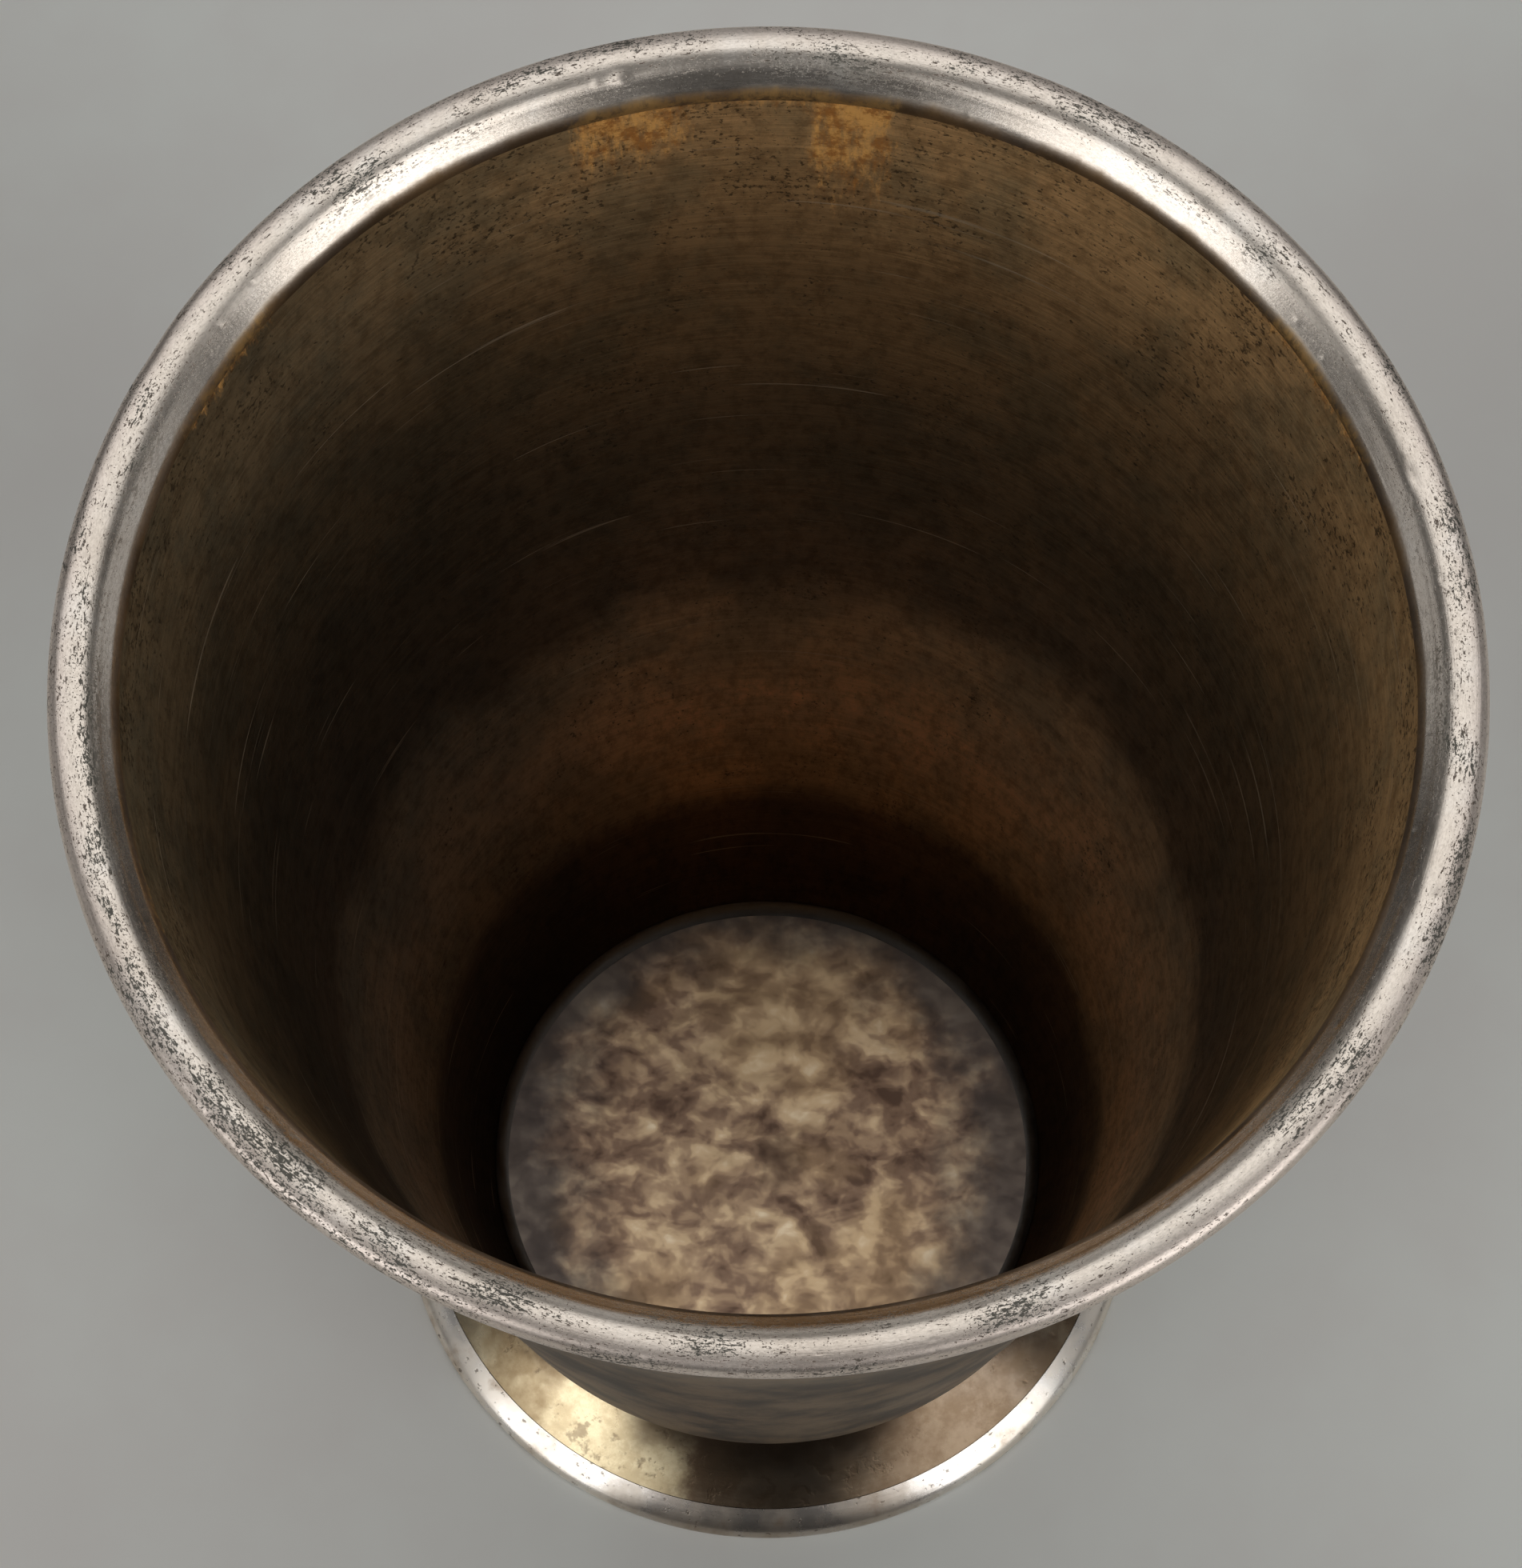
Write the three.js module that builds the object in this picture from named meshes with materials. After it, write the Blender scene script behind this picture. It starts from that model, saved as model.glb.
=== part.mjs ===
// A silver communion cup: a tapered beaker bowl with a heavy applied lip, a floor
// disc let into the wall, and a low hollow foot on a base ring. Every piece is a
// body of revolution, and neighbours are joined by rebates with a solder line.
// Millimetres, +Z up, origin at the centre of the face that the cup stands on.
import * as THREE from "three";

// Driving dimensions.
const CUP_HEIGHT = 94;
const LIP_RADIUS = 40;
const MOUTH_RADIUS = 36.1;
const WALL_THICKNESS = 1;
const FLOOR_TOP = 6;
const FLOOR_RADIUS = 17.3;
const FLOOR_THICKNESS = 1;
const FOOT_RADIUS = 23.8;
const SOLDER_GAP = 0.1;

// The lip wire. Depths are below its highest point.
const LIP_DEPTH = 2.2; // down to the wall's top edge
const LIP_BAND_WIDTH = 1.7; // the nearly flat band on top
const LIP_BAND_EDGE = 0.12; // depth of the band's two edges
const LIP_BAND_CROWN = 0.06; // how far the band's curve is pulled above its top
const LIP_ROUND = 0.5; // how far the band's outer edge stands in from the widest line
const LIP_WIDEST_DEPTH = 0.9;
const LIP_UNDERCUT_DEPTH = 1.6;
const LIP_THROAT_DEPTH = 2; // where the underside turns down into the skirt
const LIP_THROAT_OUT = 1.7; // how far outside the mouth that turn lies
const LIP_SLOPE_DEPTH = 1.25; // foot of the straight inner slope
const LIP_SLOPE_OUT = 0.35; // how far outside the mouth that foot lies
const LIP_SKIRT = 2; // how far it laps down outside the wall
const LIP_SKIRT_EDGE = 0.3;

// The wall.
const CURVE_IN_TOP = 15.3; // height where the straight wall starts to curve in
const CURVE_IN_RADIUS = 20.5; // inside radius there
const CURVE_IN_KNEE = 9.1; // height where the tangents of that curve meet
const HAMMERED_SHARE = 0.8; // what the raising hammer left of the wall at its foot
const WALL_COLLAR = 0.7; // upright edge at the wall's foot
const KNEE_THICKENING = 0.3;

// The foot.
const NECK_TOP = 4.8; // top of the foot shell's flange, just below the wall
const FOOT_SHEET = 0.8;
const FLANGE_INNER_RADIUS = 16.2;
const NECK_RADIUS = 18.3;
const FLARE_OUT = 1.5; // knee of the flare's hollow curve, outside the neck
const FLARE_UP = 1.25; // and above the shell's edge
const BASE_RING_HEIGHT = 1.9;
const BASE_RING_WIDTH = 2.3;
const BASE_RING_LEDGE = 0.95; // height of the ledge that carries the shell
const BASE_RING_LIP = 1.5; // width of the ring outside the shell's edge
const BASE_RING_ROUND = 0.45;
const BASE_RING_SIDE = 0.05; // upright part of the ring's outer face
const BASE_RING_FALL = 0.75; // how far its top curve drops before it turns down

// The solder runs.
const FLOOR_FILLET_WIDTH = 0.5;
const FLOOR_FILLET_OVERLAP = 0.3; // how far it spreads out over the wall
const NECK_FILLET_HALF_HEIGHT = 0.5;
const NECK_FILLET_BULGE = 0.7;
const NECK_FILLET_OUT = 0.17; // how far its back clears the neck
const NECK_FILLET_RISE = 0.42; // how far its middle lies above the neck's top

// Resolution of the turned shapes.
const SEGMENTS = 64;
const CURVE_STEPS = 5;

const wornSilver = new THREE.MeshStandardMaterial({
  color: 0xc9bfb4,
  roughness: 0.34,
  metalness: 1,
});
const wornGilt = new THREE.MeshStandardMaterial({
  color: 0x8c7450,
  roughness: 0.42,
  metalness: 1,
});
const floorSilver = new THREE.MeshStandardMaterial({
  color: 0xb5a48c,
  roughness: 0.5,
  metalness: 1,
});
const tarnishedSilver = new THREE.MeshStandardMaterial({
  color: 0xb7ac8e,
  roughness: 0.28,
  metalness: 1,
});
const solderGrey = new THREE.MeshStandardMaterial({
  color: 0x86827c,
  roughness: 0.5,
  metalness: 1,
});

// Turns a closed outline, in radius and height, round the +Z axis.
function turned(name, outline, material) {
  const geometry = new THREE.LatheGeometry(
    outline.getPoints(CURVE_STEPS),
    SEGMENTS,
  );
  geometry.rotateX(Math.PI / 2);
  const mesh = new THREE.Mesh(geometry, material);
  mesh.name = name;
  return mesh;
}

const wallTop = CUP_HEIGHT - LIP_DEPTH - SOLDER_GAP;
const wallFoot = NECK_TOP + SOLDER_GAP;
const wallSlope = (MOUTH_RADIUS - CURVE_IN_RADIUS) / (wallTop - CURVE_IN_TOP);

// Inside radius of the straight part of the wall at a height.
function wallInsideAt(height) {
  return CURVE_IN_RADIUS + (height - CURVE_IN_TOP) * wallSlope;
}

function bowlWall() {
  const seat = FLOOR_RADIUS + SOLDER_GAP;
  const skin = seat + WALL_THICKNESS * HAMMERED_SHARE;
  const knee = wallInsideAt(CURVE_IN_KNEE);
  const o = new THREE.Path();
  o.moveTo(seat, wallFoot);
  o.lineTo(skin, wallFoot);
  o.lineTo(skin, wallFoot + WALL_COLLAR);
  o.quadraticCurveTo(
    knee + WALL_THICKNESS,
    CURVE_IN_KNEE - KNEE_THICKENING,
    CURVE_IN_RADIUS + WALL_THICKNESS,
    CURVE_IN_TOP,
  );
  o.lineTo(MOUTH_RADIUS + WALL_THICKNESS, wallTop);
  o.lineTo(MOUTH_RADIUS, wallTop);
  o.lineTo(CURVE_IN_RADIUS, CURVE_IN_TOP);
  o.quadraticCurveTo(knee, CURVE_IN_KNEE, seat, FLOOR_TOP);
  o.closePath();
  return turned("bowl_wall", o, wornGilt);
}

function rimWire() {
  const seat = wallTop + SOLDER_GAP;
  const skirtEnd = seat - LIP_SKIRT;
  const lap = WALL_THICKNESS + SOLDER_GAP;
  const bandOuter = LIP_RADIUS - LIP_ROUND;
  const bandInner = bandOuter - LIP_BAND_WIDTH;
  const bandEdge = CUP_HEIGHT - LIP_BAND_EDGE;
  const widest = CUP_HEIGHT - LIP_WIDEST_DEPTH;
  const undercut = CUP_HEIGHT - LIP_UNDERCUT_DEPTH;
  const o = new THREE.Path();
  o.moveTo(MOUTH_RADIUS, seat);
  o.lineTo(MOUTH_RADIUS + lap, seat);
  o.lineTo(wallInsideAt(skirtEnd) + lap, skirtEnd);
  o.lineTo(wallInsideAt(skirtEnd) + lap + LIP_SKIRT_EDGE, skirtEnd);
  o.quadraticCurveTo(
    MOUTH_RADIUS + LIP_THROAT_OUT,
    CUP_HEIGHT - LIP_THROAT_DEPTH,
    bandOuter,
    undercut,
  );
  o.quadraticCurveTo(LIP_RADIUS, undercut, LIP_RADIUS, widest);
  o.quadraticCurveTo(LIP_RADIUS, bandEdge, bandOuter, bandEdge);
  o.quadraticCurveTo(
    bandInner + LIP_BAND_WIDTH / 2,
    CUP_HEIGHT + LIP_BAND_CROWN,
    bandInner,
    bandEdge,
  );
  o.lineTo(MOUTH_RADIUS + LIP_SLOPE_OUT, CUP_HEIGHT - LIP_SLOPE_DEPTH);
  o.quadraticCurveTo(
    MOUTH_RADIUS,
    CUP_HEIGHT - (LIP_SLOPE_DEPTH + LIP_DEPTH) / 2,
    MOUTH_RADIUS,
    seat,
  );
  return turned("rim_wire", o, wornSilver);
}

function bowlFloor() {
  const o = new THREE.Path();
  o.moveTo(0, FLOOR_TOP - FLOOR_THICKNESS);
  o.lineTo(FLOOR_RADIUS, FLOOR_TOP - FLOOR_THICKNESS);
  o.lineTo(FLOOR_RADIUS, FLOOR_TOP);
  o.lineTo(0, FLOOR_TOP);
  return turned("bowl_floor", o, floorSilver);
}

function floorSolderFillet() {
  const foot = FLOOR_TOP + SOLDER_GAP;
  const inner = FLOOR_RADIUS - FLOOR_FILLET_WIDTH;
  const o = new THREE.Path();
  o.moveTo(inner, foot);
  o.lineTo(FLOOR_RADIUS, foot);
  o.lineTo(FLOOR_RADIUS + FLOOR_FILLET_OVERLAP, foot + FLOOR_FILLET_WIDTH);
  o.quadraticCurveTo(FLOOR_RADIUS, foot + SOLDER_GAP, inner, foot);
  return turned("floor_solder_fillet", o, solderGrey);
}

function footShell() {
  const edge = FOOT_RADIUS - BASE_RING_LIP - SOLDER_GAP;
  const edgeFoot = BASE_RING_LEDGE + SOLDER_GAP;
  const flangeFoot = NECK_TOP - FOOT_SHEET;
  const edgeTop = edgeFoot + FOOT_SHEET;
  const kneeOut = NECK_RADIUS + FLARE_OUT;
  const kneeUp = edgeTop + FLARE_UP;
  const o = new THREE.Path();
  o.moveTo(FLANGE_INNER_RADIUS, flangeFoot);
  o.lineTo(NECK_RADIUS - FOOT_SHEET, flangeFoot);
  o.quadraticCurveTo(
    kneeOut - FOOT_SHEET / 2,
    kneeUp - FOOT_SHEET,
    edge - FOOT_SHEET,
    edgeFoot,
  );
  o.lineTo(edge, edgeFoot);
  o.lineTo(edge, edgeTop);
  o.quadraticCurveTo(kneeOut, kneeUp, NECK_RADIUS, NECK_TOP);
  o.lineTo(FLANGE_INNER_RADIUS, NECK_TOP);
  o.closePath();
  return turned("foot_shell", o, tarnishedSilver);
}

function footSolderFillet() {
  const inner = NECK_RADIUS + NECK_FILLET_OUT;
  const middle = NECK_TOP + NECK_FILLET_RISE;
  const top = middle + NECK_FILLET_HALF_HEIGHT;
  const o = new THREE.Path();
  o.moveTo(inner, middle - NECK_FILLET_HALF_HEIGHT);
  o.quadraticCurveTo(inner + NECK_FILLET_BULGE, middle, inner, top);
  o.closePath();
  return turned("foot_solder_fillet", o, solderGrey);
}

function baseRing() {
  const inner = FOOT_RADIUS - BASE_RING_WIDTH;
  const rebate = FOOT_RADIUS - BASE_RING_LIP;
  const shoulder = BASE_RING_ROUND + BASE_RING_SIDE;
  const o = new THREE.Path();
  o.moveTo(inner, 0);
  o.lineTo(FOOT_RADIUS - BASE_RING_ROUND, 0);
  o.quadraticCurveTo(FOOT_RADIUS, 0, FOOT_RADIUS, BASE_RING_ROUND);
  o.lineTo(FOOT_RADIUS, shoulder);
  o.quadraticCurveTo(
    FOOT_RADIUS,
    BASE_RING_HEIGHT - BASE_RING_FALL,
    rebate,
    BASE_RING_HEIGHT,
  );
  o.lineTo(rebate, BASE_RING_LEDGE);
  o.lineTo(inner, BASE_RING_LEDGE);
  o.closePath();
  return turned("base_ring", o, wornSilver);
}

const cup = new THREE.Group();
cup.add(rimWire(), bowlWall(), bowlFloor(), floorSolderFillet());
cup.add(footShell(), footSolderFillet(), baseRing());

export default cup;
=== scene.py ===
"""A worn silver communion cup: its looks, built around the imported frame. Metres, +Z up."""

import math

import bpy
import numpy as np
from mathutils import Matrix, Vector


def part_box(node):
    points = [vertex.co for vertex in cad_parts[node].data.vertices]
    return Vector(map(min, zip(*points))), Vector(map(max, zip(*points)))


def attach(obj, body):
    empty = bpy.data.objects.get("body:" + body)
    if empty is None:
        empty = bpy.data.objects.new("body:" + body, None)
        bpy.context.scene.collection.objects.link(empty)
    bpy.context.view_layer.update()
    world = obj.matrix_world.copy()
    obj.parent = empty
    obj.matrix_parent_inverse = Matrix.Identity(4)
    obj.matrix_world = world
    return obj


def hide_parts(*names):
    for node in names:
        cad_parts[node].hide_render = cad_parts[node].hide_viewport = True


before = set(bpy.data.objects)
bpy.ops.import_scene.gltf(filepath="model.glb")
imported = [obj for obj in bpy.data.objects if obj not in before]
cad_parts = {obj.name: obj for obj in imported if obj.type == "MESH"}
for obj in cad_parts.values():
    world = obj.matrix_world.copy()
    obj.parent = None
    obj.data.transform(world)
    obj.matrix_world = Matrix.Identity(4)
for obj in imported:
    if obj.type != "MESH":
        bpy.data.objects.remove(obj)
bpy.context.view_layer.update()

MM = 0.001
TURN = 2 * math.pi

# ------------------------------------------------------------------ sizes from the frame
LIP_LOW, LIP_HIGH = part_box("rim_wire")
WALL_LOW, WALL_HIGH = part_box("bowl_wall")
FLOOR_LOW, FLOOR_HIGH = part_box("bowl_floor")
SHELL_LOW, SHELL_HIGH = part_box("foot_shell")
BEAD_LOW, BEAD_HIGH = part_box("foot_solder_fillet")
RING_LOW, RING_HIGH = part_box("base_ring")
TOP = LIP_HIGH.z
SOLDER_LINE = 0.1 * MM
WALL_THICKNESS = 1.0 * MM
MOUTH_RADIUS = WALL_HIGH.x - WALL_THICKNESS

# The wall's turn above the floor.
TURN_TOP = 15.3 * MM
TURN_RADIUS = 20.5 * MM
TURN_KNEE = 9.1 * MM
WALL_SLOPE = (MOUTH_RADIUS - TURN_RADIUS) / (WALL_HIGH.z - TURN_TOP)

# The wall's foot.
THINNED_SHARE = 0.8  # of the wall's thickness, at its very foot
WALL_COLLAR = 0.7 * MM
KNEE_THICKENING = 0.3 * MM

# The solder runs.
FILLET_WIDTH = 0.5 * MM
FILLET_OVERLAP = 0.3 * MM  # how far it spreads out over the wall
BEAD_WIDTH = 0.34 * MM
BEAD_BULGE = 0.7 * MM  # pull of the bead's curve, which stands out half as far

# The foot.
FOOT_SHEET = 0.8 * MM
NECK_RADIUS = 18.3 * MM
FLANGE_RADIUS = 16.2 * MM
FLARE_OUT = 1.5 * MM
FLARE_UP = 1.25 * MM
RING_LIP = 1.5 * MM
RING_WIDTH = 2.3 * MM
RING_LEDGE = 0.95 * MM
RING_ROUND = 0.45 * MM
RING_SIDE = 0.05 * MM
RING_FALL = 0.75 * MM

# Where marks lie round the axis: their middle, in degrees from +X towards +Y, and their half
# width. They are fixed to the cup, whose front is at 270.
# Painted shade on the inside wall, at its left and right sides.
PAINTED_SHADE_LEFT = (178, 84)
PAINTED_SHADE_RIGHT = (0, 55)
CROWDED_PITS = (205, 75)
# Painted dark reflection on the outside of the bowl, at its front.
FRONT_DARK_REFLECTION = (270, 66)
# Painted dark reflection on the foot, at its front and right.
FOOT_DARK_REFLECTION = (292, 72)
FOOT_YELLOW = (242, 19)
# Painted highlights in the foot's neck.
NECK_HIGHLIGHT_LEFT = (234, 13)
NECK_HIGHLIGHT_RIGHT = (307, 14)
# Painted dark reflection on the base ring's front.
RING_DARK_REFLECTION = (272, 36)

# Bright gold just inside the mouth, where gilding is left and where highlights are painted: the same two
# angles, and its drop down the wall.
GILT_AND_HIGHLIGHT_PATCHES = [
    (103, 8.0, 13 * MM),
    (92, 14.0, 5 * MM),
    (82.5, 6.0, 19 * MM),
    (148, 10.0, 5 * MM),
    (31, 14.0, 5 * MM),
    (200, 6.0, 4 * MM),
    (262, 8.0, 3 * MM),
]


# ------------------------------------------------------------------ outlines
def line(start, end, step):
    """Points from start to just before end."""
    start, end = np.array(start), np.array(end)
    count = max(1, round(np.linalg.norm(end - start) / step))
    return start + (end - start) * (np.arange(count) / count)[:, None]


def bend(start, knee, end, step):
    """Points along a quadratic curve from start to just before end."""
    start, knee, end = (np.array(p) for p in (start, knee, end))
    length = np.linalg.norm(knee - start) + np.linalg.norm(end - knee)
    count = max(3, round(length / step))
    t = (np.arange(count) / count)[:, None]
    return (1 - t) ** 2 * start + 2 * t * (1 - t) * knee + t**2 * end


def outline(corners, step):
    """Points through (r, z) corners, without the last. A corner (knee, point) is reached by a curve."""
    rows, here = [], corners[0]
    for corner in corners[1:]:
        if isinstance(corner[0], tuple):
            rows.append(bend(here, corner[0], corner[1], step))
            here = corner[1]
        else:
            rows.append(line(here, corner, step))
            here = corner
    return np.concatenate(rows)


# ------------------------------------------------------------------ hand-made unevenness
def waves(angle, along, seed, longest, count=14, turns=9):
    """Smooth unevenness of about -1 to 1, seamless round the axis; longest is its longest wave along."""
    random = np.random.default_rng(seed)
    total = np.zeros(np.broadcast(angle, along).shape)
    for _ in range(count):
        lobes = random.integers(0, turns + 1)
        pitch = longest / random.uniform(1, 5)
        share = 1 / (1 + 0.35 * lobes)
        total += share * np.cos(
            lobes * angle + TURN * along / pitch + random.uniform(0, TURN)
        )
    return total / math.sqrt(count)


def dents(angle, along, radius, seed, count, span, size, depth):
    """Small knocks, each a soft pit, at seeded places between the two ends of span."""
    random = np.random.default_rng(seed)
    total = np.zeros(np.broadcast(angle, along).shape)
    for _ in range(count):
        place, height = random.uniform(0, TURN), random.uniform(*span)
        wide = random.uniform(*size)
        tall = wide * random.uniform(0.4, 1.0)
        deep = random.uniform(0.3, 1.0) * depth
        away = (angle - place + math.pi) % TURN - math.pi
        total -= deep * np.exp(
            -((away * radius / wide) ** 2) - ((along - height) / tall) ** 2
        )
    return total


# ------------------------------------------------------------------ turned meshes
def outline_normals(points):
    """Outward normals of a closed outline that runs anticlockwise in (r, z)."""
    ahead = np.roll(points, -1, 0) - np.roll(points, 1, 0)
    ahead /= np.linalg.norm(ahead, axis=1)[:, None]
    return np.stack([ahead[:, 1], -ahead[:, 0]], 1)


def ring_places(points, segments, relief):
    """The outline's points turned round +Z, one row of them for each segment."""
    normals = outline_normals(points)
    steps = np.linalg.norm(np.roll(points, -1, 0) - points, axis=1)
    along = np.concatenate([[0], np.cumsum(steps)[:-1]])[None, :]
    angle = (np.arange(segments) * TURN / segments)[:, None]
    r = np.broadcast_to(points[:, 0], (segments, len(points)))
    z = np.broadcast_to(points[:, 1], (segments, len(points)))
    if relief is not None:
        out = relief(angle, along, r, z)
        r = r + out * normals[:, 0]
        z = z + out * normals[:, 1]
    return np.stack([r * np.cos(angle), r * np.sin(angle), z], 2).reshape(-1, 3)


def ring_quads(width, columns, segments):
    """Faces between neighbouring segments for the given columns of a row of width points."""
    i = np.arange(segments)[:, None]
    j = np.array(columns)[None, :]
    following = (i + 1) % segments
    above = (j + 1) % width
    corners = [i * width + j, following * width + j, following * width + above, i * width + above]
    return np.stack(corners, 2).reshape(-1, 4)


def turned(name, points, segments, relief=None):
    """A closed outline turned round +Z. relief(angle, along, r, z) is how far each point stands out."""
    places = ring_places(points, segments, relief)
    quads = ring_quads(len(points), range(len(points)), segments)
    return mesh_piece(name, places.tolist(), quads.tolist())


def turned_solid(name, points, segments, relief=None):
    """A body with no hole: the outline runs from the axis below to the axis above."""
    ring = points[1:-1]
    width = len(ring)
    places = ring_places(ring, segments, relief).tolist()
    faces = ring_quads(width, range(width - 1), segments).tolist()
    below, above = len(places), len(places) + 1
    places += [(0, 0, points[0][1]), (0, 0, points[-1][1])]
    for i in range(segments):
        following = (i + 1) % segments
        faces.append([below, following * width, i * width])
        faces.append([above, i * width + width - 1, following * width + width - 1])
    return mesh_piece(name, places, faces)


def mesh_piece(name, places, faces):
    mesh = bpy.data.meshes.new(name)
    mesh.from_pydata(places, [], faces)
    mesh.validate()
    mesh.shade_smooth()
    mesh.set_sharp_from_angle(angle=math.radians(50))
    piece = bpy.data.objects.new(name, mesh)
    bpy.context.scene.collection.objects.link(piece)
    return piece


# ------------------------------------------------------------------ shader helpers
class Shader:
    """A small hand for writing node materials."""

    def __init__(self, name):
        self.material = bpy.data.materials.new(name)
        self.material.use_nodes = True
        self.tree = self.material.node_tree
        self.surface = self.tree.nodes["Principled BSDF"]
        where = self.tree.nodes.new("ShaderNodeTexCoord")
        self.place = where.outputs["Object"]
        split = self.add("ShaderNodeSeparateXYZ", [self.place])
        self.x, self.y, self.z = split.outputs
        square_x = self.math("MULTIPLY", self.x, self.x)
        square_y = self.math("MULTIPLY", self.y, self.y)
        square = self.math("ADD", square_x, square_y)
        self.r = self.math("MAXIMUM", self.math("SQRT", square), 1e-5)
        self.cos = self.math("DIVIDE", self.x, self.r)
        self.sin = self.math("DIVIDE", self.y, self.r)

    def add(self, kind, inputs=(), **settings):
        node = self.tree.nodes.new(kind)
        for key, value in settings.items():
            setattr(node, key, value)
        for i, value in enumerate(inputs):
            self.feed(node.inputs[i], value)
        return node

    def feed(self, socket, value):
        if isinstance(value, bpy.types.NodeSocket):
            self.tree.links.new(value, socket)
        elif value is not None:
            if hasattr(value, "__len__") and len(value) == 3 and socket.type == "RGBA":
                value = (*value, 1)
            socket.default_value = value

    def math(self, operation, a, b=None):
        return self.add("ShaderNodeMath", [a, b], operation=operation).outputs[0]

    def plus(self, value, other, share=1.0):
        """value + share * other."""
        node = self.add("ShaderNodeMath", [other, share, value], operation="MULTIPLY_ADD")
        return node.outputs[0]

    def around(self, lobes, rows, across=None):
        """Coordinates with lobes features per radian round the axis and rows per metre across."""
        across = self.z if across is None else across
        parts = [self.math("MULTIPLY", self.cos, lobes), self.math("MULTIPLY", self.sin, lobes)]
        parts.append(self.math("MULTIPLY", across, rows))
        return self.add("ShaderNodeCombineXYZ", parts).outputs[0]

    def along_ring(self, lobes, rows, radius):
        """Like around, but even on every side of a wire of about that radius."""
        reach = self.plus(lobes - radius * rows, self.r, rows)
        parts = [self.math("MULTIPLY", self.cos, reach), self.math("MULTIPLY", self.sin, reach)]
        parts.append(self.math("MULTIPLY", self.z, rows))
        return self.add("ShaderNodeCombineXYZ", parts).outputs[0]

    def noise(self, place, scale=1.0, detail=3.0, roughness=0.55, distortion=0.0):
        node = self.add("ShaderNodeTexNoise", [place])
        node.inputs["Scale"].default_value = scale
        node.inputs["Detail"].default_value = detail
        node.inputs["Roughness"].default_value = roughness
        node.inputs["Distortion"].default_value = distortion
        return node.outputs[0]

    def between(self, value, low, high, bottom=0.0, top=1.0):
        """value's way from low to high, eased, as bottom to top."""
        inputs = [value, low, high, bottom, top]
        node = self.add("ShaderNodeMapRange", inputs, interpolation_type="SMOOTHSTEP")
        return node.outputs[0]

    def towards(self, degrees, half_width):
        """1 near the side that lies at an angle from +X, easing to 0 at half_width degrees away."""
        a = math.radians(degrees)
        facing = self.plus(self.math("MULTIPLY", self.cos, math.cos(a)), self.sin, math.sin(a))
        ends = [math.cos(math.radians(half_width * share)) for share in (1.0, 0.3)]
        return self.between(facing, *ends)

    def ramp(self, value, stops):
        """A colour for each value, eased between (value, colour) stops."""
        node = self.add("ShaderNodeValToRGB", [value])
        band = node.color_ramp
        band.interpolation = "EASE"
        for _ in stops[2:]:
            band.elements.new(0.5)
        for element, (position, color) in zip(band.elements, stops):
            element.position = position
            element.color = (*color, 1)
        return node.outputs[0]

    def mix(self, share, first, second, blend="MIX"):
        node = self.add("ShaderNodeMix", data_type="RGBA", blend_type=blend)
        for i, value in ((0, share), (6, first), (7, second)):
            self.feed(node.inputs[i], value)
        return node.outputs[2]

    def blend(self, share, first, second):
        node = self.add("ShaderNodeMix", data_type="FLOAT")
        for i, value in ((0, share), (2, first), (3, second)):
            self.feed(node.inputs[i], value)
        return node.outputs[0]

    def bump(self, height, depth, strength=1.0):
        node = self.add("ShaderNodeBump")
        node.inputs["Strength"].default_value = strength
        node.inputs["Distance"].default_value = depth
        self.feed(node.inputs["Height"], height)
        return node.outputs[0]

    def finish(self, color, roughness, normal=None, metallic=1.0):
        self.feed(self.surface.inputs["Base Color"], color)
        self.feed(self.surface.inputs["Roughness"], roughness)
        self.feed(self.surface.inputs["Metallic"], metallic)
        if normal is not None:
            self.feed(self.surface.inputs["Normal"], normal)
        return self.material


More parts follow.
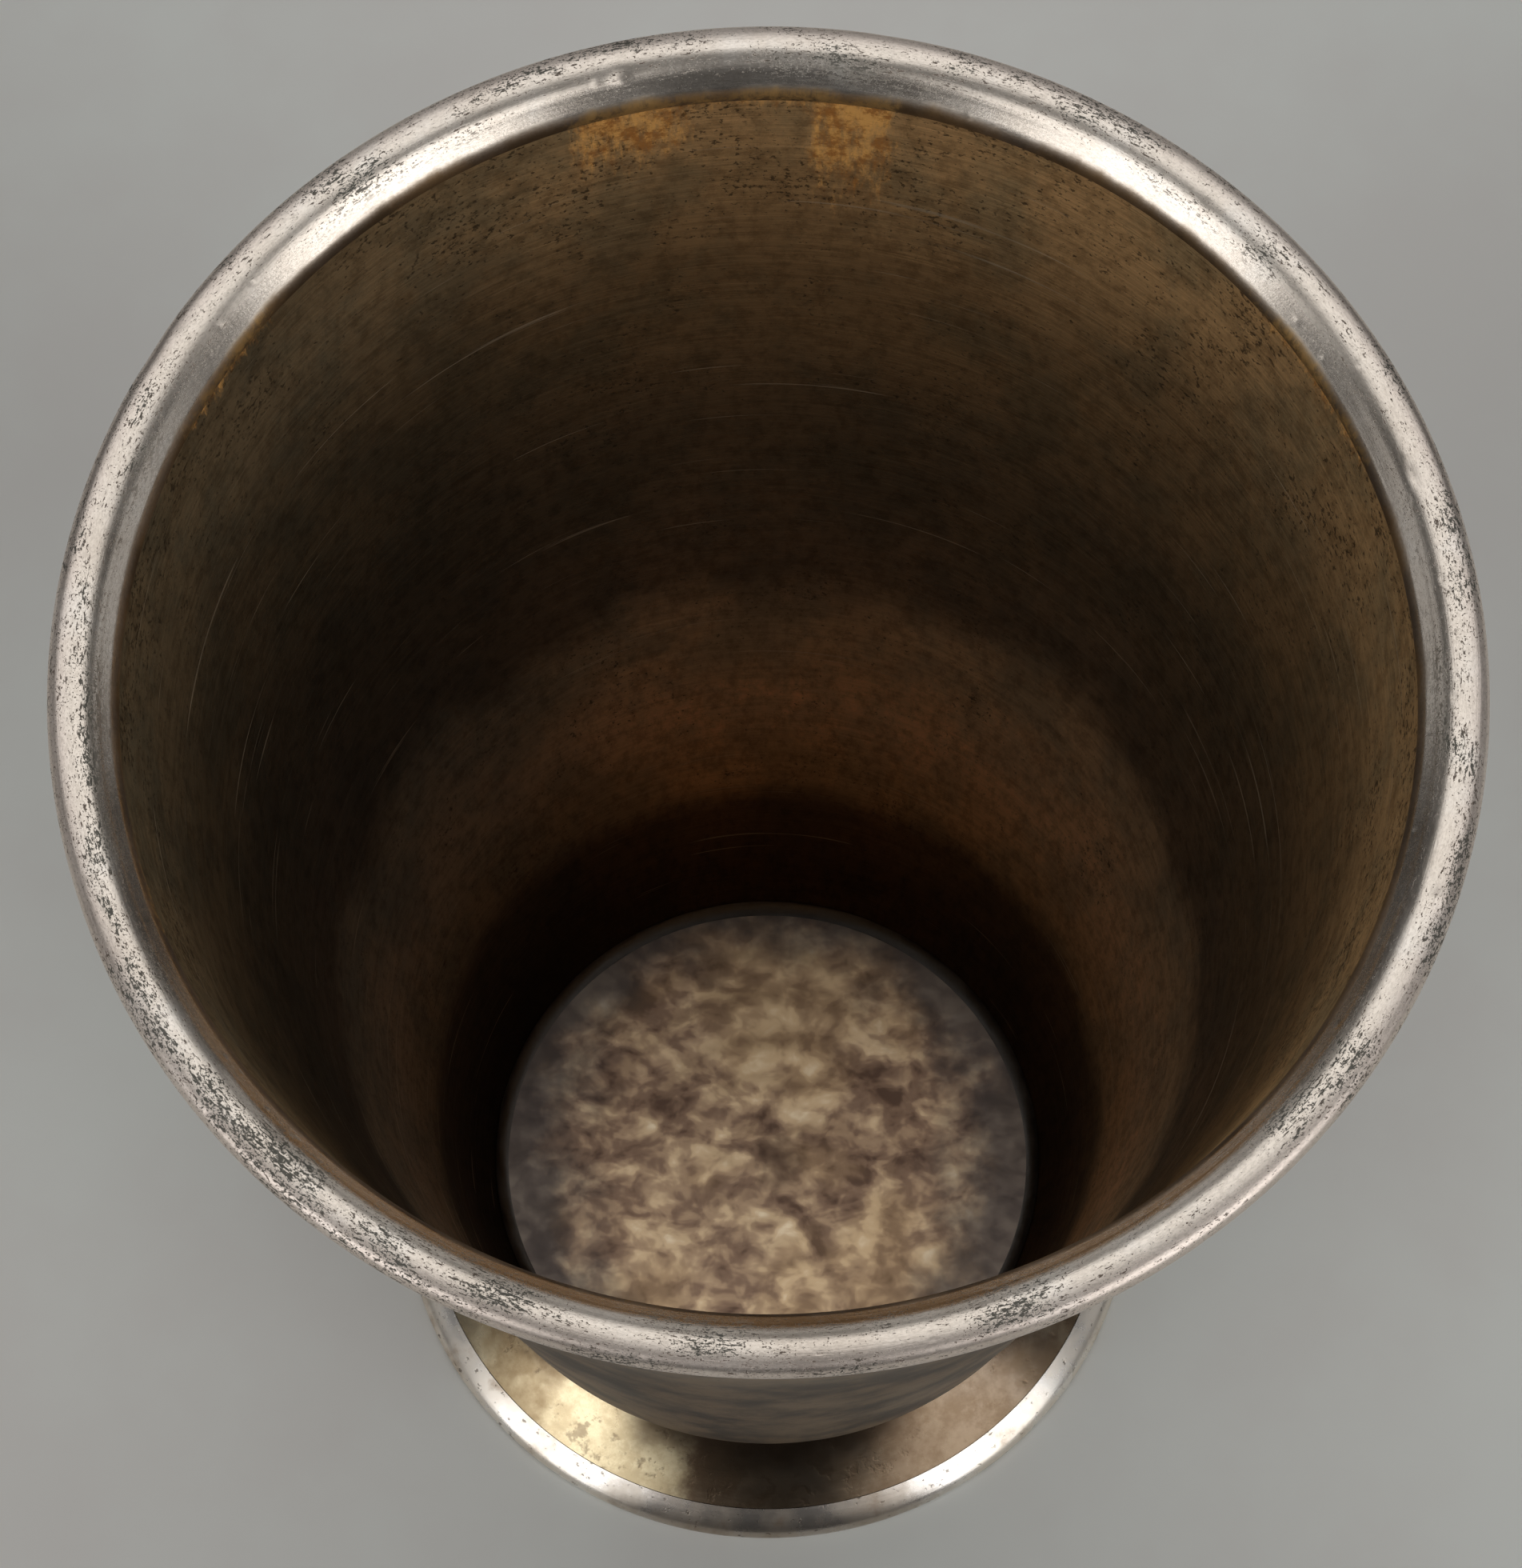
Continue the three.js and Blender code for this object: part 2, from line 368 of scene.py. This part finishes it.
# ------------------------------------------------------------------ materials
def lip_silver():
    """Worn silver with dark pits round the lip, and patina down inside the mouth."""
    s = Shader("lip_silver")
    across = s.plus(s.r, s.z, -0.6)
    middle = LIP_HIGH.x - 2 * MM
    cloud = s.noise(s.place, 170, 5, 0.6)
    color = s.ramp(
        cloud,
        [
            (0.3, (0.66, 0.585, 0.50)),
            (0.5, (0.78, 0.705, 0.615)),
            (0.7, (0.88, 0.82, 0.74)),
        ],
    )
    outer = s.between(s.r, LIP_HIGH.x - 1.5 * MM, LIP_HIGH.x - 0.3 * MM, 0.1, 0.55)
    color = s.mix(outer, color, (0.78, 0.66, 0.60))
    grain = s.noise(s.along_ring(140, 9000, middle), 1.0, 4, 0.7)
    color = s.mix(s.between(grain, 0.42, 0.62, 0.0, 0.45), color, (0.62, 0.6, 0.58), "MULTIPLY")

    ragged = s.noise(s.around(9, 700, across), 1.0, 6, 0.62)
    edge = s.plus(MOUTH_RADIUS - 0.25 * MM, ragged, 0.9 * MM)
    depth = s.math("SUBTRACT", edge, s.r)
    patina = s.between(depth, -0.35 * MM, 0.25 * MM)
    brown = s.mix(s.between(cloud, 0.4, 0.6), (0.17, 0.105, 0.05), (0.32, 0.20, 0.09))
    color = s.mix(s.math("MULTIPLY", patina, 0.94), color, brown)
    # Bright gold just inside the mouth: flakes of gilding and painted highlights.
    gilt_and_highlight = gilt_and_highlights(s, s.noise(s.around(70, 5200, across), 1.0, 5, 0.7))
    line = s.math("MULTIPLY", s.between(depth, -0.25 * MM, 0.2 * MM), 0.75)
    color = s.mix(s.math("MULTIPLY", gilt_and_highlight, line), color, (0.85, 0.55, 0.22))

    crowd = s.plus(s.noise(s.around(6, 500, across), 1.0, 3), s.towards(*CROWDED_PITS), 0.05)
    streaks = s.plus(s.noise(s.along_ring(75, 7000, middle), 1.0, 4, 0.65), crowd, 0.5)
    specks = s.plus(s.noise(s.along_ring(260, 8200, middle), 1.0, 2, 0.6), crowd, 0.45)
    pits = s.math("MAXIMUM", s.between(streaks, 0.84, 0.89), s.between(specks, 0.84, 0.90))
    clusters = s.plus(s.noise(s.along_ring(60, 3200, middle), 1.0, 4, 0.7), crowd, 0.5)
    pits = s.math("MAXIMUM", pits, s.between(clusters, 0.94, 0.98))
    on_band = s.between(s.r, MOUTH_RADIUS + 0.6 * MM, MOUTH_RADIUS + 1.7 * MM, 0.12, 1.0)
    pits = s.math("MULTIPLY", pits, on_band)
    stain = s.mix(s.between(crowd, 0.5, 0.62), (0.11, 0.075, 0.055), (0.05, 0.055, 0.045))
    color = s.mix(s.math("MULTIPLY", pits, 0.85), color, stain)

    hair = s.noise(s.around(11, 15000, across), 1.0, 3, 0.6)
    fine = s.noise(s.place, 5200, 3, 0.7)
    polish = s.between(s.r, LIP_HIGH.x - 3.2 * MM, LIP_HIGH.x - 1.2 * MM, 0.19, 0.33)
    roughness = s.plus(polish, cloud, 0.10)
    roughness = s.blend(s.math("MAXIMUM", pits, patina), roughness, 0.6)
    height = s.plus(s.plus(s.plus(hair, fine, 0.7), cloud, 1.0), pits, -0.8)
    return s.finish(color, roughness, s.bump(height, 0.008 * MM, 0.8))


def gilt_and_highlights(s, flaky):
    """Where flakes of gilding are left and highlights are painted just inside the mouth, from 0 to 1."""
    total = 0.0
    for degrees, half_width, drop in GILT_AND_HIGHLIGHT_PATCHES:
        below = s.between(s.z, TOP - drop, TOP - 0.2 * drop)
        total = s.math("MAXIMUM", s.math("MULTIPLY", s.towards(degrees, half_width), below), total)
    return s.between(s.plus(total, flaky, 2.0), 1.5, 2.1)


def gilt_wall():
    """Old gilding inside the bowl, worn below the mouth, with painted light and shade: lighter at the top,
    bright orange in a band low down, darker between, and dark just above the floor from dirt and painted
    shade in the corner; painted shade darkens the left and right sides, and painted highlights join the
    flakes of gilding below the mouth.
    """
    s = Shader("gilt_wall")
    drift = s.noise(s.around(2.4, 50), 1.0, 5, 0.6)
    wander = s.between(s.z, 9 * MM, 40 * MM, 0.03, 0.16)
    level = s.math("MULTIPLY", s.math("SUBTRACT", drift, 0.5), wander)
    level = s.plus(level, s.z, 1 / TOP)
    # Painted light and shade by height: lighter at the top, a bright orange band low down, darker between,
    # and dark just above the floor, partly dirt in the corner.
    color = s.ramp(
        level,
        [
            (0.09, (0.12, 0.065, 0.03)),
            (0.17, (0.21, 0.12, 0.055)),
            (0.22, (0.78, 0.47, 0.23)),
            (0.31, (1.00, 0.62, 0.33)),
            (0.40, (0.74, 0.49, 0.27)),
            (0.48, (0.27, 0.175, 0.10)),
            (0.62, (0.23, 0.15, 0.08)),
            (0.77, (0.38, 0.235, 0.11)),
            (0.95, (0.80, 0.51, 0.24)),
        ],
    )
    worn = s.noise(s.around(4.5, 120), 1.0, 6, 0.68)
    color = s.mix(s.between(worn, 0.42, 0.62, 0.0, 0.8), color, (0.66, 0.74, 0.82), "MULTIPLY")
    # Painted shade: the inside wall darker towards the left and, less, the right.
    right = s.math("MULTIPLY", s.towards(*PAINTED_SHADE_RIGHT), 0.25)
    sides = s.math("MAXIMUM", s.towards(*PAINTED_SHADE_LEFT), right)
    color = s.mix(s.math("MULTIPLY", sides, 0.95), color, (0.35, 0.41, 0.50), "MULTIPLY")
    lines = s.noise(s.around(3.5, 2600), 1.0, 5, 0.7)
    color = s.mix(s.between(lines, 0.40, 0.68, 0.0, 0.35), color, (0.55, 0.54, 0.52), "MULTIPLY")
    mottle = s.noise(s.around(26, 700), 1.0, 6, 0.75)
    color = s.mix(s.between(mottle, 0.42, 0.66, 0.0, 0.6), color, (0.46, 0.42, 0.38), "MULTIPLY")

    high = s.between(s.z, TOP - 24 * MM, TOP - 2 * MM)
    crowd = s.plus(s.noise(s.around(5, 160), 1.0, 3), high, 0.18)
    specks = s.plus(s.noise(s.around(84, 3000), 1.0, 4, 0.65), crowd, 0.4)
    specks = s.between(specks, 0.82, 0.92)
    color = s.mix(s.math("MULTIPLY", specks, 0.75), color, (0.05, 0.033, 0.018))

    # Bright gold just inside the mouth: flakes of gilding and painted highlights.
    gilt_and_highlight = gilt_and_highlights(s, s.noise(s.around(58, 420), 1.0, 6, 0.78))
    gold = s.mix(s.between(mottle, 0.42, 0.6), (1.0, 0.54, 0.16), (0.50, 0.21, 0.05))
    color = s.mix(gilt_and_highlight, color, gold)

    scratch = s.between(s.noise(s.around(1.6, 3400), 1.0, 2, 0.5), 0.69, 0.73)
    color = s.mix(s.math("MULTIPLY", scratch, 0.35), color, (0.80, 0.66, 0.48))
    hair = s.noise(s.around(6, 9000), 1.0, 3, 0.6)
    roughness = s.between(hair, 0.3, 0.7, 0.54, 0.68)
    height = s.plus(s.plus(hair, lines, 0.8), s.math("ADD", specks, mottle), -0.8)
    return s.finish(color, roughness, s.bump(height, 0.02 * MM, 0.7), s.blend(gilt_and_highlight, 0.85, 0.45))


def outside_silver():
    """The outside of the bowl: worn silver, clouded, with brown tarnish low down; at the front the brown
    climbs higher as a painted dark reflection.
    """
    s = Shader("outside_silver")
    cloud = s.noise(s.around(2.6, 70), 1.0, 5, 0.6)
    color = s.ramp(
        cloud,
        [
            (0.34, (0.22, 0.15, 0.09)),
            (0.5, (0.42, 0.33, 0.23)),
            (0.66, (0.66, 0.57, 0.45)),
        ],
    )
    # Towards the front the brown climbs higher: a painted dark reflection over the tarnish low down.
    front = s.towards(*FRONT_DARK_REFLECTION)
    reach = s.plus(24 * MM, front, 56 * MM)
    low = s.between(s.math("DIVIDE", s.plus(s.z, cloud, -24 * MM), reach), 1.0, 0.45)
    patches = s.noise(s.around(5, 140), 1.0, 5, 0.65)
    brown = s.ramp(patches, [(0.35, (0.035, 0.022, 0.014)), (0.65, (0.17, 0.11, 0.06))])
    color = s.mix(s.math("MULTIPLY", low, 0.92), color, brown)
    streaks = s.between(s.noise(s.around(40, 4600), 1.0, 4, 0.62), 0.62, 0.68)
    color = s.mix(s.math("MULTIPLY", streaks, 0.8), color, (0.07, 0.05, 0.035))
    hair = s.noise(s.around(9, 9000), 1.0, 3, 0.6)
    roughness = s.blend(low, s.between(cloud, 0.3, 0.7, 0.42, 0.26), 0.55)
    return s.finish(color, roughness, s.bump(s.plus(hair, streaks, -0.8), 0.012 * MM, 0.6))


def floor_silver():
    """The floor: cream, tan and brown in soft blotches, grey towards its left and right edges."""
    s = Shader("floor_silver")
    squeezed = s.add("ShaderNodeVectorMath", [s.place, (0.9, 1.1, 1.0)], operation="MULTIPLY")
    wavy = squeezed.outputs[0]
    blotch = s.noise(wavy, 290, 4, 0.52, 0.6)
    grain = s.noise(wavy, 800, 2, 0.5, 0.4)
    tone = s.plus(s.math("MULTIPLY", blotch, 0.6), grain, 0.4)
    color = s.ramp(
        tone,
        [
            (0.34, (0.24, 0.155, 0.115)),
            (0.44, (0.42, 0.285, 0.20)),
            (0.51, (0.58, 0.41, 0.27)),
            (0.59, (0.76, 0.57, 0.36)),
            (0.70, (0.94, 0.79, 0.57)),
        ],
    )
    golden = s.between(s.noise(s.place, 110, 3), 0.46, 0.62, 0.0, 0.35)
    color = s.mix(golden, color, (0.62, 0.43, 0.23))
    sides = s.plus(s.r, s.math("MULTIPLY", s.cos, s.cos), 2.6 * MM)
    outer = s.between(s.plus(sides, s.noise(s.place, 300, 4), 9 * MM), 16.5 * MM, 22.5 * MM)
    color = s.mix(s.math("MULTIPLY", outer, 0.9), color, (0.12, 0.105, 0.10))
    beside = s.math("POWER", s.plus(s.x, -1.0 * MM), 2.0)
    off_centre = s.math("SQRT", s.plus(beside, s.math("POWER", s.y, 2.0)))
    middle = s.between(s.plus(off_centre, s.noise(s.place, 420, 3), 4 * MM), 4.4 * MM, 2.9 * MM)
    color = s.mix(s.math("MULTIPLY", middle, 0.55), color, (0.13, 0.085, 0.06))
    normal = s.bump(tone, 0.05 * MM, 0.6)
    return s.finish(color, s.between(tone, 0.35, 0.65, 0.50, 0.38), normal)


def foot_silver():
    """The foot: silver, cream-yellow left of the front and brown from there to the right, the brown partly a
    painted dark reflection; painted shade darkens the neck, but for two painted highlights.
    """
    s = Shader("foot_silver")
    cloud = s.noise(s.place, 95, 5, 0.6)
    color = s.ramp(
        cloud,
        [
            (0.32, (0.15, 0.10, 0.06)),
            (0.42, (0.42, 0.32, 0.19)),
            (0.52, (0.64, 0.53, 0.35)),
            (0.66, (0.80, 0.72, 0.56)),
        ],
    )
    # Brown from the front to the right: a painted dark reflection, mixed with random brown stain.
    stain_and_dark_reflection = s.plus(s.towards(*FOOT_DARK_REFLECTION), s.noise(s.place, 210, 6, 0.68), 1.5)
    color = s.mix(s.between(stain_and_dark_reflection, 0.85, 1.6, 0.0, 0.88), color, (0.16, 0.11, 0.075))
    yellow = s.plus(s.towards(*FOOT_YELLOW), s.noise(s.place, 300, 5, 0.68), 1.3)
    color = s.mix(s.between(yellow, 0.95, 1.6, 0.0, 0.85), color, (0.80, 0.68, 0.44))
    haze = s.between(s.noise(s.place, 420, 6, 0.72), 0.40, 0.60, 0.0, 0.55)
    color = s.mix(haze, color, (0.62, 0.55, 0.48), "MULTIPLY")
    spots = s.between(s.noise(s.place, 640, 5, 0.65), 0.57, 0.66)
    color = s.mix(s.math("MULTIPLY", spots, 0.6), color, (0.16, 0.11, 0.07))
    # Painted shade in the recess at the neck.
    neck_shade = s.between(s.plus(s.z, s.noise(s.place, 240, 4), 2.4 * MM), 3.9 * MM, 5.6 * MM)
    # Two painted highlights, where the painted shade of the neck is left out.
    neck_highlights = s.math("MAXIMUM", s.towards(*NECK_HIGHLIGHT_LEFT), s.towards(*NECK_HIGHLIGHT_RIGHT))
    neck_shade = s.math("MULTIPLY", neck_shade, s.math("SUBTRACT", 1.0, neck_highlights))
    color = s.mix(s.math("MULTIPLY", neck_shade, 0.85), color, (0.09, 0.06, 0.04))
    hair = s.noise(s.around(8, 9000), 1.0, 3, 0.6)
    height = s.plus(s.plus(hair, cloud, 1.5), spots, -0.6)
    return s.finish(color, s.between(cloud, 0.3, 0.7, 0.34, 0.20), s.bump(height, 0.010 * MM, 0.6))


def ring_silver():
    """The base ring: paler than the foot, with a few dark marks and a front darkened by a painted dark
    reflection mixed with brown stain.
    """
    s = Shader("ring_silver")
    middle = RING_HIGH.x - 1 * MM
    cloud = s.noise(s.along_ring(7, 300, middle), 1.0, 5, 0.6)
    color = s.ramp(
        cloud,
        [
            (0.32, (0.60, 0.50, 0.40)),
            (0.46, (0.90, 0.82, 0.72)),
            (0.65, (0.98, 0.93, 0.87)),
        ],
    )
    # A front darkened by a painted dark reflection, mixed with random brown stain.
    stain_and_dark_reflection = s.plus(s.towards(*RING_DARK_REFLECTION), s.noise(s.along_ring(13, 500, middle), 1.0, 5, 0.65), 1.2)
    color = s.mix(s.between(stain_and_dark_reflection, 0.7, 1.6, 0.0, 0.6), color, (0.24, 0.18, 0.135))
    marks = s.between(s.noise(s.along_ring(38, 2600, middle), 1.0, 4, 0.62), 0.61, 0.68)
    color = s.mix(s.math("MULTIPLY", marks, 0.7), color, (0.10, 0.07, 0.05))
    hair = s.noise(s.around(8, 9000), 1.0, 3, 0.6)
    height = s.plus(s.plus(hair, cloud, 1.2), marks, -0.8)
    return s.finish(color, s.between(cloud, 0.3, 0.7, 0.36, 0.24), s.bump(height, 0.010 * MM, 0.6))


def hard_solder():
    """Grey solder, grainy where it ran."""
    s = Shader("hard_solder")
    cloud = s.noise(s.place, 600, 4, 0.6)
    color = s.mix(cloud, (0.05, 0.045, 0.04), (0.17, 0.16, 0.15))
    return s.finish(color, s.between(cloud, 0.3, 0.7, 0.35, 0.55), s.bump(cloud, 0.04 * MM, 0.6))


# ------------------------------------------------------------------ pieces
def place_piece(piece, node, slot, *materials):
    for material in materials:
        piece.data.materials.append(material)
    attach(piece, "root")
    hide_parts(node)
    return piece


def lip():
    """The moulded lip wire, lapped over the wall's top edge."""
    seat, skirt = WALL_HIGH.z + 0.01 * MM, LIP_LOW.z
    edge = LIP_HIGH.x
    lap = WALL_THICKNESS + SOLDER_LINE
    skirt_in = MOUTH_RADIUS + lap - (seat - skirt) * WALL_SLOPE
    inside = (MOUTH_RADIUS, seat)
    throat = (MOUTH_RADIUS + 1.7 * MM, TOP - 2.0 * MM)
    undercut = (edge - 0.5 * MM, TOP - 1.6 * MM)
    widest = (edge, TOP - 0.9 * MM)
    shoulder = (edge - 0.6 * MM, TOP - 0.10 * MM)
    crest = (edge - 1.5 * MM, TOP - 0.03 * MM)
    slope_top = (edge - 2.95 * MM, TOP - 0.72 * MM)
    slope_foot = (MOUTH_RADIUS + 0.4 * MM, TOP - 1.18 * MM)
    corners = [
        inside,
        (MOUTH_RADIUS + lap, seat),
        (skirt_in, skirt),
        (skirt_in + 0.3 * MM, skirt),
        (throat, undercut),
        ((edge, TOP - 1.55 * MM), widest),
        ((edge, TOP - 0.25 * MM), shoulder),
        ((edge - 1.0 * MM, TOP), crest),
        ((edge - 2.3 * MM, TOP - 0.08 * MM), slope_top),
        slope_foot,
        ((MOUTH_RADIUS, TOP - 1.6 * MM), inside),
    ]

    def relief(angle, along, r, z):
        shown = np.clip((z - seat) / (0.6 * MM), 0, 1)
        out = 0.03 * MM * waves(angle, along, 11, 9 * MM, turns=12)
        nicks = {"span": (5 * MM, 13 * MM), "size": (0.08 * MM, 0.25 * MM), "depth": 0.03 * MM}
        knocks = {"span": (6 * MM, 12 * MM), "size": (0.5 * MM, 1.6 * MM), "depth": 0.06 * MM}
        out = out + dents(angle, along, edge, seed=12, count=260, **nicks)
        out = out + dents(angle, along, edge, seed=13, count=14, **knocks)
        return out * shown

    piece = turned("lip", outline(corners, 0.10 * MM), 1440, relief)
    return place_piece(piece, "rim_wire", "worn_silver", lip_silver())


def wall():
    """The tapered wall: straight, then turning in to the seat of the floor. Gilt inside only."""
    seat = FLOOR_HIGH.x + SOLDER_LINE
    skin = seat + THINNED_SHARE * WALL_THICKNESS
    knee = TURN_RADIUS - (TURN_TOP - TURN_KNEE) * WALL_SLOPE
    corners = [
        (seat, WALL_LOW.z),
        (skin, WALL_LOW.z),
        (skin, WALL_LOW.z + WALL_COLLAR),
        ((knee + WALL_THICKNESS, TURN_KNEE - KNEE_THICKENING), (TURN_RADIUS + WALL_THICKNESS, TURN_TOP)),
        (MOUTH_RADIUS + WALL_THICKNESS, WALL_HIGH.z),
        (MOUTH_RADIUS, WALL_HIGH.z),
        (TURN_RADIUS, TURN_TOP),
        ((knee, TURN_KNEE), (seat, FLOOR_HIGH.z)),
        (seat, WALL_LOW.z),
    ]
    points = outline(corners, 0.4 * MM)

    def relief(angle, along, r, z):
        low = np.clip((z - 8 * MM) / (8 * MM), 0, 1)
        high = np.clip((WALL_HIGH.z - 4 * MM - z) / (8 * MM), 0, 1)
        return 0.05 * MM * waves(angle, z, 21, 40 * MM, turns=10) * low * high

    segments = 720
    piece = turned("wall", points, segments, relief)
    outside = np.arange(len(points)) < np.argmax(points[:, 1])
    piece.data.materials.append(gilt_wall())
    piece.data.materials.append(outside_silver())
    piece.data.polygons.foreach_set("material_index", np.tile(outside.astype(np.int32), segments))
    return place_piece(piece, "bowl_wall", "worn_gilt")


def floor_disc():
    """The let-in floor, dished a little by hand."""
    edge = FLOOR_HIGH.x
    rows = np.linspace(0, edge, 70)
    dish = 0.25 * MM * (1 - (rows / edge) ** 2)
    bottom = np.stack([rows, np.full_like(rows, FLOOR_LOW.z)], 1)
    top = np.stack([rows, FLOOR_HIGH.z - dish], 1)[::-1]

    def relief(angle, along, r, z):
        free = np.clip((edge - r) / (2 * MM), 0, 1) * np.clip(r / (3 * MM), 0, 1)
        upper = z > FLOOR_LOW.z + 0.3 * MM
        return 0.04 * MM * waves(angle, r, 31, 14 * MM, turns=7) * free * upper

    piece = turned_solid("floor_disc", np.concatenate([bottom, top]), 240, relief)
    return place_piece(piece, "bowl_floor", "floor_silver", floor_silver())


def floor_fillet():
    """The thin run of solder round the floor."""
    low = FLOOR_HIGH.z + 0.02 * MM
    edge = FLOOR_HIGH.x
    corners = [
        (edge - FILLET_WIDTH, low),
        (edge, low),
        (edge + FILLET_OVERLAP, low + FILLET_WIDTH),
        ((edge, low + 0.12 * MM), (edge - FILLET_WIDTH, low)),
    ]

    def relief(angle, along, r, z):
        return 0.03 * MM * waves(angle, r, 61, 3 * MM, turns=30) * (z > low + 0.02 * MM)

    piece = turned("floor_fillet", outline(corners, 0.08 * MM), 720, relief)
    return place_piece(piece, "floor_solder_fillet", "solder", hard_solder())


def foot():
    """The hollow foot, which flares from the neck to the base ring."""
    edge = SHELL_HIGH.x
    rim = edge + 0.05 * MM
    knee, knee_up = NECK_RADIUS + FLARE_OUT, SHELL_LOW.z + FOOT_SHEET + FLARE_UP
    corners = [
        (FLANGE_RADIUS, SHELL_HIGH.z - FOOT_SHEET),
        (NECK_RADIUS - FOOT_SHEET, SHELL_HIGH.z - FOOT_SHEET),
        ((knee - FOOT_SHEET / 2, knee_up - FOOT_SHEET), (edge - FOOT_SHEET, SHELL_LOW.z)),
        (rim, SHELL_LOW.z),
        (rim, SHELL_LOW.z + FOOT_SHEET),
        ((knee, knee_up), (NECK_RADIUS, SHELL_HIGH.z)),
        (FLANGE_RADIUS, SHELL_HIGH.z),
        (FLANGE_RADIUS, SHELL_HIGH.z - FOOT_SHEET),
    ]

    def relief(angle, along, r, z):
        free = np.clip((edge - 0.3 * MM - r) / (1 * MM), 0, 1)
        return 0.03 * MM * waves(angle, r, 41, 8 * MM, turns=9) * free

    piece = turned("foot", outline(corners, 0.12 * MM), 960, relief)
    return place_piece(piece, "foot_shell", "tarnished_silver", foot_silver())


def foot_bead():
    """The run of solder in the neck."""
    inner = BEAD_HIGH.x - BEAD_WIDTH
    corners = [
        (inner, BEAD_LOW.z),
        ((inner + BEAD_BULGE, (BEAD_LOW.z + BEAD_HIGH.z) / 2), (inner, BEAD_HIGH.z)),
        (inner, BEAD_LOW.z),
    ]
    piece = turned("foot_bead", outline(corners, 0.08 * MM), 720)
    return place_piece(piece, "foot_solder_fillet", "solder", hard_solder())


def base_ring():
    """The half-round wire under the foot's edge."""
    edge = RING_HIGH.x
    height = RING_HIGH.z
    rebate, inner = edge - RING_LIP, edge - RING_WIDTH
    corners = [
        (inner, 0.0),
        (edge - RING_ROUND, 0.0),
        ((edge, 0.0), (edge, RING_ROUND)),
        (edge, RING_ROUND + RING_SIDE),
        ((edge, height - RING_FALL), (rebate, height)),
        (rebate, RING_LEDGE),
        (inner, RING_LEDGE),
        (inner, 0.0),
    ]

    def relief(angle, along, r, z):
        free = np.clip((z - 0.2 * MM) / (0.4 * MM), 0, 1) * (r > edge - 1.2 * MM)
        return 0.01 * MM * waves(angle, along, 51, 5 * MM, turns=11) * free

    piece = turned("foot_ring", outline(corners, 0.1 * MM), 960, relief)
    return place_piece(piece, "base_ring", "worn_silver", ring_silver())


lip()
wall()
floor_disc()
floor_fillet()
foot()
foot_bead()
base_ring()


# ------------------------------------------------------------------ studio
def table():
    mesh = bpy.data.meshes.new("table")
    half = 6.0
    corners = [(-half, -half, 0), (half, -half, 0), (half, half, 0), (-half, half, 0)]
    mesh.from_pydata(corners, [], [(0, 1, 2, 3)])
    top = bpy.data.objects.new("table", mesh)
    bpy.context.scene.collection.objects.link(top)
    s = Shader("table_paint")
    cloud = s.noise(s.place, 26, 5, 0.6)
    paint = s.ramp(cloud, [(0.34, (0.65, 0.635, 0.605)), (0.66, (0.69, 0.70, 0.665))])
    s.finish(paint, 0.8, metallic=0.0)
    mesh.materials.append(s.material)


def softbox(name, azimuth, elevation, size, radiance, distance=1.3):
    """A soft rectangular light. Azimuth 0 is the camera's side, and 90 is +X."""
    a, e = math.radians(azimuth), math.radians(elevation)
    back = Vector((math.sin(a) * math.cos(e), -math.cos(a) * math.cos(e), math.sin(e)))
    light = bpy.data.lights.new(name, "AREA")
    light.shape = "RECTANGLE"
    light.size, light.size_y = size
    light.energy = radiance * math.pi * size[0] * size[1]
    lamp = bpy.data.objects.new(name, light)
    lamp.location = Vector((0, 0, TOP / 2)) + back * distance
    lamp.rotation_euler = back.to_track_quat("Z", "Y").to_euler()
    lamp.visible_camera = False
    bpy.context.scene.collection.objects.link(lamp)


def studio():
    world = bpy.data.worlds.new("studio")
    world.use_nodes = True
    world.node_tree.nodes["Background"].inputs["Color"].default_value = (0.04, 0.04, 0.04, 1)
    bpy.context.scene.world = world
    softbox("left_box", -50, 34, (0.70, 1.35), 1.75)
    softbox("right_box", 50, 34, (0.70, 1.35), 1.95)
    softbox("overhead_box", 180, 66, (1.5, 0.8), 1.35)
    softbox("left_fill", -100, 20, (0.8, 0.4), 0.4)
    softbox("right_fill", 100, 20, (0.8, 0.4), 0.4)
    softbox("back_fill", 180, 20, (1.6, 0.5), 0.4)
    bpy.context.scene.view_settings.view_transform = "Standard"


def camera():
    """The long lens above the cup's front, aimed just below the middle of the mouth."""
    elevation = math.radians(69.2)
    distance = 0.480
    back = Vector((0, -math.cos(elevation), math.sin(elevation)))
    up = Vector((0, math.sin(elevation), math.cos(elevation)))
    right = Vector((1, 0, 0))
    mouth = Vector((0, 0, TOP - 0.9 * MM))
    lens = bpy.data.cameras.new("camera")
    lens.sensor_width = 36
    lens.lens = 198.7
    lens.clip_start = 0.01
    eye = bpy.data.objects.new("camera", lens)
    eye.location = mouth + back * distance
    below, beside = 5.57, 0.40
    target = mouth - up * below * MM - right * beside * MM
    eye.rotation_euler = (eye.location - target).to_track_quat("Z", "Y").to_euler()
    bpy.context.scene.collection.objects.link(eye)
    bpy.context.scene.camera = eye


table()
studio()
camera()
